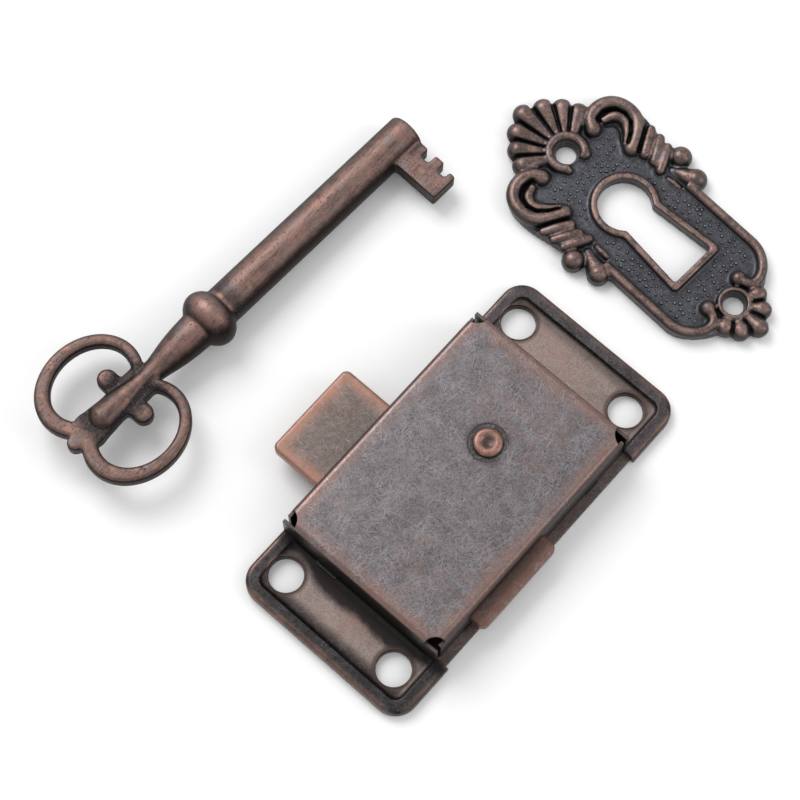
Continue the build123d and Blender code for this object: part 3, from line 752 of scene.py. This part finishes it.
def bolt_material():
    f = bpy.context.scene.lock_finish
    mat, tree, coords, shader = new_material("bolt_copper")
    if tree is None:
        return mat
    clouds = clouds_over(tree, coords, 210.0)
    grain = noise(tree, coords, 5200.0, 2.0, 0.6)
    edge, rounded = worn_edges(tree, 0.0006)
    from_middle = place_vector(tree, coords, spot=-Vector((*BOLT_MIDDLE, 0)) * MM)
    band = border(tree, from_middle, BOLT_FACE, 3.8)[0]
    mottle = mottled(tree, clouds, grain)
    base = mixed(tree, mottle, shade(f.brown, 0.34), shade(f.brown, 0.70))
    warm = times(tree, between(tree, band, 0.05, 1.0), between(tree, mottle, 0.0, 1.0, 0.55, 1.0))
    base = mixed(tree, warm, base, f.bright)
    # tail that sticks out of the case painted darker: painted shade
    tail = between(tree, axes(tree, from_middle)[0], 0.0188, 0.0200, 0.0, 0.62)
    base = mixed(tree, tail, base, shade(f.copper, 0.42))
    base = mixed(tree, times(tree, scratches_over(tree, coords, 0.615), 0.22), base, f.scratch)
    long = scratches_over(tree, place_vector(tree, coords, size=(0.70, 0.70, 0.70)), 0.70)
    base = mixed(tree, times(tree, long, 0.55), base, shade(f.scratch, 1.2))
    base = mixed(tree, times(tree, edge, 0.8), base, shade(f.copper, 1.75))
    coat(tree, shader, base, 0.85, maths(tree, "MULTIPLY_ADD", mottle, 0.14, 0.36))
    bump(tree, shader, grain, 0.00004, 0.4, rounded)
    return mat


def rivet_material():
    f = bpy.context.scene.lock_finish
    mat, tree, coords, shader = new_material("rivet_copper")
    if tree is None:
        return mat
    clouds = clouds_over(tree, coords, 520.0)
    edge, rounded = worn_edges(tree, 0.0003)
    axis = axes(tree, coords)
    dimple = between(tree, plan_distance(tree, axis[0], axis[1], POST), 0.0007, 0.0013, 0.85, 0.0)
    base = mixed(tree, clouds, shade(f.copper, 0.75), shade(f.copper, 1.45))
    base = mixed(tree, dimple, base, shade(f.rim, 0.9))
    base = mixed(tree, times(tree, edge, 0.6), base, shade(f.copper, 1.7))
    # hollows of the rivet go black: blackening and painted shade
    base = mixed(tree, hollows(tree, 0.0012, 0.6), base, f.black)
    coat(tree, shader, base, 0.9, maths(tree, "MULTIPLY_ADD", clouds, 0.15, 0.30))
    bump(tree, shader, clouds, 0.00004, 0.4, rounded)
    return mat


def steel_material(name, tone):
    f = bpy.context.scene.lock_finish
    mat, tree, coords, shader = new_material(name)
    if tree is None:
        return mat
    clouds = clouds_over(tree, coords, 260.0)
    edge, rounded = worn_edges(tree, 0.0002)
    base = mixed(tree, clouds, shade(f.steel, 0.6 * tone), shade(f.steel, tone))
    base = mixed(tree, times(tree, edge, 0.5), base, shade(f.steel, 1.6))
    coat(tree, shader, base, 0.95, maths(tree, "MULTIPLY_ADD", clouds, 0.16, 0.3))
    bump(tree, shader, scratches_over(tree, coords, 0.61), 0.00002, 0.3, rounded)
    return mat


def key_recesses(tree, clouds, own):
    """Dark places of the key, as blackening and painted shade: beside the shank in the bow, beside the bead
    and at the bit's root.
    """
    along = maths(tree, "MULTIPLY_ADD", clouds, 0.0012, own[0])
    off_axis = absolute(tree, own[1])
    across = maths(tree, "MULTIPLY_ADD", clouds, 0.0012, off_axis)
    low = between(tree, own[2], 0.0015, 0.0018, 1.0, 0.0)
    bow = times(tree, between(tree, across, 0.0036, 0.0060, 0.90, 0.0), low)
    bow = times(tree, bow, between(tree, along, -0.0142, -0.0120, 1.0, 0.0))
    bow = times(tree, bow, between(tree, along, -0.0284, -0.0262))
    bead = times(tree, between(tree, along, 0.0046, 0.0078, 0.65, 0.0), between(tree, own[0], 0.0031, 0.0037))
    bit = times(tree, between(tree, across, 0.0040, 0.0064, 0.75, 0.0), between(tree, along, 0.0436, 0.0452))
    bit = times(tree, bit, between(tree, off_axis, 0.0031, 0.0035))
    return either(tree, either(tree, bow, bead), bit)


def patched(tree, patches, base, cool, cool_end, cool_share, warm, warm_share):
    """The colour with cooler patches at one end of a noise and warmer ones at the other."""
    base = mixed(tree, between(tree, patches, 0.54, cool_end, 0.0, cool_share), base, cool)
    return mixed(tree, between(tree, patches, 0.46, 0.34, 0.0, warm_share), base, warm)


def key_material():
    f = bpy.context.scene.key_finish
    mat, tree, coords, shader = new_material("key_copper")
    if tree is None:
        return mat
    own = own_axes(tree, coords, KEY_PLACE)
    clouds = clouds_over(tree, coords, 260.0)
    skin = use(tree, "Casting skin", {"Scale": 2300.0}, {"Vector": coords}).outputs
    mottle = mottled(tree, clouds, noise(tree, coords, 4200.0, 2.0, 0.6))
    worn = mixed(tree, mottle, f.brown, f.copper)
    worn = mixed(tree, between(tree, own[0], -0.0070, -0.0035, 0.30, 0.0), worn, shade(f.brown, 0.40))
    bead = between(tree, absolute(tree, own[0]), 0.0020, 0.0038, 0.6, 0.0)
    worn = mixed(tree, bead, worn, shade(f.copper, 1.25))
    streaks = noise(tree, place_vector(tree, coords, size=(2400, 260, 2400)), 1.0, 3.0)
    worn = mixed(tree, between(tree, streaks, 0.50, 0.72, 0.0, 0.60), worn, shade(f.brown, 0.42))
    patches = noise(tree, coords, 420.0, 3.0, 0.6)
    worn = patched(tree, patches, worn, shade(f.grey, 1.05), 0.68, 0.50, f.warm, 0.45)
    # sideways flanks get near-black brown: partly blackening left by handling, partly painted shade
    base = mixed(tree, tops_and_shaded_flanks(tree, coords, 0.50, 0.98), shade(f.brown, 0.12), worn)
    # hollows, pits and recesses go dark: blackening, with painted shade in the hollows and recesses
    dark = either(tree, between(tree, hollows(tree, 0.0032, 0.56), 0.15, 0.85), times(tree, skin[0], 0.8))
    dark = either(tree, dark, key_recesses(tree, clouds, own))
    # grey specks over the dark places are a painted sheen
    specks = between(tree, noise(tree, coords, 3600.0, 2.0, 0.6), 0.50, 0.70, 0.0, 0.32)
    base = mixed(tree, dark, base, mixed(tree, specks, f.black, f.grey))
    coat(tree, shader, base, 0.85, maths(tree, "MULTIPLY_ADD", mottle, 0.16, 0.40))
    bump(tree, shader, skin[1], 0.00008, 0.6)
    return mat


def plate_ground(tree, f, coords, height, up, mottle):
    """The dark stippled field, with its dots lighter on top as rubbed wear and painted highlight, and its
    brown side walls.
    """
    ground = mixed(tree, mottle, shade(f.field, 0.6), shade(f.field, 1.25))
    specks = between(tree, noise(tree, coords, 2600.0, 2.0, 0.6), 0.60, 0.72, 0.0, 0.55)
    specks = either(tree, specks, times(tree, scratches_over(tree, coords, 0.64), 0.30))
    ground = mixed(tree, specks, ground, shade(f.field, 4.4))
    # dots lighter on top: rubbed wear and a painted highlight
    dots = times(tree, between(tree, height, 0.00160, 0.00176, 0.0, 0.9), between(tree, up, 0.15, 0.5))
    ground = mixed(tree, dots, ground, shade(f.field, 3.2))
    return mixed(tree, between(tree, up, 0.1, 0.5, 0.8, 0.0), ground, shade(f.brown, 0.5))


def plate_material():
    f = bpy.context.scene.plate_finish
    mat, tree, coords, shader = new_material("plate_antique")
    if tree is None:
        return mat
    own = own_axes(tree, coords, PLATE_PLACE)
    clouds = clouds_over(tree, coords, 300.0)
    skin = use(tree, "Casting skin", {"Scale": 1500.0}, {"Vector": coords}).outputs
    mottle = mottled(tree, clouds, noise(tree, coords, 4200.0, 2.0, 0.6))
    tail_fan = between(tree, own[0], 0.0405, 0.0420)
    fans = either(tree, tail_fan, between(tree, own[0], -0.0060, -0.0040, 1.0, 0.0))
    height = maths(tree, "MULTIPLY_ADD", fans, 0.0007, own[2])
    wobble = maths(tree, "MULTIPLY_ADD", clouds, 0.0005, height)
    # copper where the relief is high and faces up: rubbed wear, and painted shade on the sideways faces left
    # brown
    high = times(tree, between(tree, wobble, 0.0020, 0.0028), tops_and_shaded_flanks(tree, coords, 0.50, 1.02))
    high = times(tree, high, between(tree, clouds, 0.0, 0.75, 0.50, 1.0))
    patches = noise(tree, coords, 560.0, 3.0, 0.6)
    tops = mixed(tree, mottle, shade(f.copper, 0.46), shade(f.copper, 1.04))
    # cool grey patches on the tops are painted glints; the warm patches are a redder tone of the copper
    tops = patched(tree, patches, tops, shade(f.field, 2.3), 0.66, 0.45, f.warm, 0.50)
    relief = mixed(tree, high, shade(f.brown, 0.55), tops)
    ground = plate_ground(tree, f, coords, own[2], facing(tree)[2], mottle)
    base = mixed(tree, between(tree, height, 0.00180, 0.00205), ground, relief)
    # grooves and pits go black: blackening in the pits, blackening and painted shade in the grooves
    dark = either(tree, between(tree, hollows(tree, 0.0015, 0.55), 0.1, 0.75), times(tree, skin[0], 0.6))
    base = mixed(tree, dark, base, f.black)
    coat(tree, shader, base, 0.75, maths(tree, "MULTIPLY_ADD", mottle, 0.16, 0.30))
    bump(tree, shader, skin[1], 0.00006, 0.6)
    return mat


def dress(node, material):
    """Gives a CAD node its finish."""
    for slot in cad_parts[node].material_slots:
        slot.link = "OBJECT"
        slot.material = material


# Operators

class LOCK_OT_case(bpy.types.Operator):
    """Finish the case and the base plate, and add the rolled rings of the screw holes"""
    bl_idname = "lockset.case"
    bl_label = "Case and base plate"

    def execute(self, context):
        dress("case", case_material())
        dress("base_plate", base_material())
        ring = context.scene.lock_finish.ring / MM
        bm = bmesh.new()
        for x in (-SCREW_HOLE[0], SCREW_HOLE[0]):
            for y in (-SCREW_HOLE[1], SCREW_HOLE[1]):
                start = Matrix.Translation((x + HOLE_RING_R, y, FLANGE_Z)) @ Matrix.Rotation(pi / 2, 4, "X")
                hoop = bmesh.ops.create_circle(bm, segments=8, radius=ring / 2, matrix=start)
                edges = list({e for v in hoop["verts"] for e in v.link_edges})
                bmesh.ops.spin(bm, geom=hoop["verts"] + edges, cent=(x, y, FLANGE_Z), axis=(0, 0, 1),
                               angle=2 * pi, steps=48, use_merge=True)
        bmesh.ops.remove_doubles(bm, verts=bm.verts, dist=1e-4)
        finish_piece("flange_hole_rings", bm, Matrix.Identity(4), "lock", case_material())
        return {"FINISHED"}


class LOCK_OT_works(bpy.types.Operator):
    """Finish the bolt, the key post, the wards, the studs and the detent spring"""
    bl_idname = "lockset.works"
    bl_label = "Bolt and inner works"

    def execute(self, context):
        dress("bolt", bolt_material())
        dress("key_post", rivet_material())
        tones = {"ward_plate": 0.8, "guide_stud": 0.9, "spring_stud": 0.9, "detent_spring": 0.12}
        for node, tone in tones.items():
            dress(node, steel_material(f"{node}_steel", tone))
        return {"FINISHED"}


def round_tip(bm):
    """Rounds the shank's flat end, down to the thickness of the bow."""
    start, end = SHANK_END
    for v in bm.verts:
        x, y, z = v.co
        if x < start and abs(y) < SHANK_R + 0.2 and abs(z) > BOW_HALF:
            reach = min(1, (start - x) / (start - end))
            room = SHANK_R * SHANK_R * (1 - reach**2) - y * y
            v.co.z = copysign(min(abs(z), max(BOW_HALF, sqrt(max(0, room)))), z)


class LOCK_OT_key(bpy.types.Operator):
    """Model the pipe key as one softened casting"""
    bl_idname = "lockset.key"
    bl_label = "Key"

    def execute(self, context):
        f = context.scene.key_finish
        bm = cad_form("key", KEY_PLACE)
        limb(bm, [(-26.5, 0, 0, 1.7), (-28.6, 0, 0, 1.4), (FINIAL_X, 0, 0, 1.3)])
        taper(bm, (NECK_X, 0, -1.38), (NECK_X, 0, 1.38), NECK_R, NECK_R, 48)
        skin = cast(bm, f.voxel / MM, f.softening)
        round_tip(skin)
        soften(skin, 3)
        finish_piece("key_casting", skin, KEY_PLACE, "key", key_material(), ["key"])
        return {"FINISHED"}


def fan_gaps(x, heading, spread, reach, inner, short):
    """Lines between the lobes of a fan."""
    lines = []
    for k in range(-len(reach) + 1, len(reach) - 1):
        turn = radians(heading + (k + 0.5) * spread)
        far = min(reach[abs(k)], reach[abs(k + 1)]) - short
        lines.append([(x + inner * cos(turn), inner * sin(turn)), (x + far * cos(turn), far * sin(turn))])
    return lines


def fan_fill(bm, x, heading, spread, reach, inner, lobe, top, slim):
    """Fuller lobes, so that they meet in a groove; slim is how much thinner they start."""
    for k in range(-len(reach) + 1, len(reach)):
        turn = radians(heading + k * spread)
        far = reach[abs(k)] - lobe
        limb(bm, [(x + inner * cos(turn), inner * sin(turn), top - lobe, lobe * slim),
                  (x + far * cos(turn), far * sin(turn), top - lobe, lobe)])


def on_field(x, y):
    """Whether a dot fits on the stippled field there."""
    far = abs(y)
    by_spot = any(hypot(x - a, far - b) < r for a, b, r in PLAIN_SPOTS)
    by_slot = KEYHOLE_X < x < 31.0 and far < 5.0 + 0.09 * (x - 17)
    by_corner = x > 33.0 and far > 8.6 - 0.75 * (x - 33.0)
    if by_spot or by_slot or by_corner or not FIELD_ENDS[0] <= x <= FIELD_ENDS[1]:
        return False
    if x > 18.5:
        return far < 8.75
    return far < (7.6 if x < 5.5 else 6.9)


def plate_dots(r, pitch):
    """Raised dots strewn over the field."""
    rnd = random.Random(7)
    spots = []
    row = 0
    y = -9.2
    while y < 9.2:
        x = 2.8 + (row % 2) * pitch / 2
        while x < 37.5:
            spot = (x + rnd.uniform(-0.30, 0.30) * pitch, y + rnd.uniform(-0.26, 0.26) * pitch)
            if on_field(*spot) and all(hypot(spot[0] - a, spot[1] - b) > 0.64 * pitch for a, b in spots):
                spots.append(spot)
            x += pitch
        y += pitch * 0.86
        row += 1
    bm = bmesh.new()
    for x, y in spots:
        place = Matrix.Translation((x, y, PLATE_FIELD_Z)) @ Matrix.Diagonal((1, 1, 0.9, 1))
        size = r * rnd.uniform(0.85, 1.15)
        bmesh.ops.create_uvsphere(bm, u_segments=7, v_segments=4, radius=size, matrix=place)
    return bm


def add_mesh(bm, extra):
    """Adds the mesh of extra to bm."""
    mesh = bpy.data.meshes.new("extra")
    extra.to_mesh(mesh)
    extra.free()
    bm.from_mesh(mesh)
    bpy.data.meshes.remove(mesh)


def plate_forms(bm):
    """Adds the tail's fuller lobes, the open collar ring, the leaves, the scrolls' rolls and the ribs."""
    fan_fill(bm, SCREW_SPAN, 0, TAIL_SPREAD, TAIL_REACH, inner=3.3, lobe=1.85, top=2.95, slim=0.70)
    turns = [radians(t) for t in range(40, 321, 20)]
    limb(bm, [(COLLAR_R * cos(t), COLLAR_R * sin(t), 1.95, 0.90) for t in turns])
    ball(bm, (2.45, 2.1, 1.75), 1.10)
    ball(bm, (2.45, -2.1, 1.75), 1.02)
    for side in (1, -1):
        for row in (*LEAVES, SCROLL_ROLL, *RIBS):
            limb(bm, smooth_path([(x, side * y, z, r) for x, y, z, r in row], steps=3))


def plate_grooves(bm):
    """Presses the grooves of the fans, the collar's opening and the grooves of the scrolls and ribs."""
    gaps = fan_gaps(0, 180, FAN_SPREAD, FAN_REACH, inner=3.9, short=0.5)
    press(bm, gaps, width=(0.28, 0.52), depth=0.85, floor=1.0)
    gaps = fan_gaps(SCREW_SPAN, 0, TAIL_SPREAD, TAIL_GAP_REACH, inner=3.4, short=0.3)
    press(bm, gaps, width=(0.26, 0.36), depth=0.8, floor=0.9)
    inner = COLLAR_R - 0.25
    opening = [(inner * cos(radians(t)), inner * sin(radians(t))) for t in range(-22, 13, 8)]
    press(bm, [opening], width=0.9, depth=1.2, floor=PLATE_FIELD_Z)
    for side in (1, -1):
        for line, width, depth, floor in (SCROLL_CHANNEL, ROLL_GROOVE, RIB_GROOVE):
            press(bm, [[(x, side * y) for x, y in line]], width, depth, floor)


class LOCK_OT_plate(bpy.types.Operator):
    """Model the keyhole plate with its scrolls, fans, ribs and stippled field"""
    bl_idname = "lockset.plate"
    bl_label = "Keyhole plate"

    def execute(self, context):
        f = context.scene.plate_finish
        bm = cad_form("escutcheon", PLATE_PLACE)
        plate_forms(bm)
        skin = cast(bm, f.voxel / MM, f.softening)
        for v in skin.verts:
            v.co.z = max(v.co.z, 0)
        plate_grooves(skin)
        soften(skin, 1)
        add_mesh(skin, plate_dots(f.dot / MM, f.dot_pitch / MM))
        finish_piece("keyhole_plate_casting", skin, PLATE_PLACE, "escutcheon",
                     plate_material(), ["escutcheon"])
        return {"FINISHED"}


def add_floor(s):
    """Matte floor just under the set."""
    bm = bmesh.new()
    bmesh.ops.create_grid(bm, x_segments=1, y_segments=1, size=3.0,
                          matrix=Matrix.Translation((0, 0, -0.0001)))
    floor = new_object("floor", bm)
    mat = bpy.data.materials.new("floor_white")
    mat.use_nodes = True
    matte = mat.node_tree.nodes["Principled BSDF"].inputs
    matte["Base Color"].default_value = s.floor
    matte["Roughness"].default_value = 0.9
    matte["Specular IOR Level"].default_value = 0.1
    floor.data.materials.append(mat)


def add_sky(scene, s):
    """Even white light from all sides."""
    world = bpy.data.worlds.new("studio")
    world.use_nodes = True
    tree = world.node_tree
    tree.nodes.clear()
    back = put(tree, "ShaderNodeBackground", values={"Color": (1, 1, 1, 1), "Strength": s.sky})
    out = tree.nodes.new("ShaderNodeOutputWorld")
    tree.links.new(back.outputs[0], out.inputs[0])
    scene.world = world


def add_camera(scene, s, target, looks):
    """Camera that looks at the target."""
    camera = bpy.data.objects.new("camera", bpy.data.cameras.new("camera"))
    camera.data.lens = s.lens
    camera.data.sensor_width = 36
    camera.data.clip_start = 0.01
    camera.location = target - looks * s.distance
    camera.rotation_euler = looks.to_track_quat("-Z", "Y").to_euler()
    scene.collection.objects.link(camera)
    scene.camera = camera


def add_lamps(scene, s, target, looks):
    """Soft lamps, set out from the way that the camera looks."""
    right = looks.cross(Vector((0, 0, 1))).normalized()
    ahead = Vector((-right.y, right.x, 0))
    for name, (to_right, to_ahead, up), (wide, deep), share in LAMPS:
        spot = to_right * right + to_ahead * ahead + Vector((0, 0, up))
        lamp = bpy.data.objects.new(name, bpy.data.lights.new(name, "AREA"))
        lamp.data.shape = "RECTANGLE"
        lamp.data.size = wide
        lamp.data.size_y = deep
        lamp.data.energy = s.lamp * share
        lamp.location = target + spot
        lamp.rotation_euler = (-spot).to_track_quat("-Z", "Y").to_euler()
        scene.collection.objects.link(lamp)


class LOCK_OT_stage(bpy.types.Operator):
    """Set up the floor, the even sky, the soft lamps and the camera"""
    bl_idname = "lockset.stage"
    bl_label = "Stage"

    def execute(self, context):
        scene = context.scene
        s = scene.lock_stage
        target = Vector(SET_MIDDLE) * MM
        looks = Vector((
            -sin(s.azimuth) * cos(s.elevation), cos(s.azimuth) * cos(s.elevation), -sin(s.elevation)
        ))
        add_floor(s)
        add_sky(scene, s)
        add_camera(scene, s, target, looks)
        add_lamps(scene, s, target, looks)
        scene.view_settings.view_transform = "Standard"
        return {"FINISHED"}


class LOCK_PT_panel(bpy.types.Panel):
    """Lists the pieces and their settings"""
    bl_idname = "LOCK_PT_panel"
    bl_label = "Drawer Lock Set"
    bl_space_type = "VIEW_3D"
    bl_region_type = "UI"
    bl_category = "Lock"

    def draw(self, context):
        for operator in OPERATORS:
            self.layout.operator(operator.bl_idname)
        for group in GROUPS:
            box = self.layout.box()
            box.label(text=group.__name__)
            holder = getattr(context.scene, GROUPS[group])
            for key in group.__annotations__:
                box.prop(holder, key)


OPERATORS = (LOCK_OT_case, LOCK_OT_works, LOCK_OT_key, LOCK_OT_plate, LOCK_OT_stage)
GROUPS = {LockFinish: "lock_finish", KeyFinish: "key_finish", PlateFinish: "plate_finish",
          StageSettings: "lock_stage"}


def register():
    for cls in (*GROUPS, *OPERATORS, LOCK_PT_panel):
        bpy.utils.register_class(cls)
    for cls, name in GROUPS.items():
        setattr(bpy.types.Scene, name, PointerProperty(type=cls))


def unregister():
    for name in GROUPS.values():
        delattr(bpy.types.Scene, name)
    for cls in reversed((*GROUPS, *OPERATORS, LOCK_PT_panel)):
        bpy.utils.unregister_class(cls)


def main():
    register()
    bpy.ops.lockset.case()
    bpy.ops.lockset.works()
    bpy.ops.lockset.key()
    bpy.ops.lockset.plate()
    bpy.ops.lockset.stage()


if __name__ == "__main__":
    main()
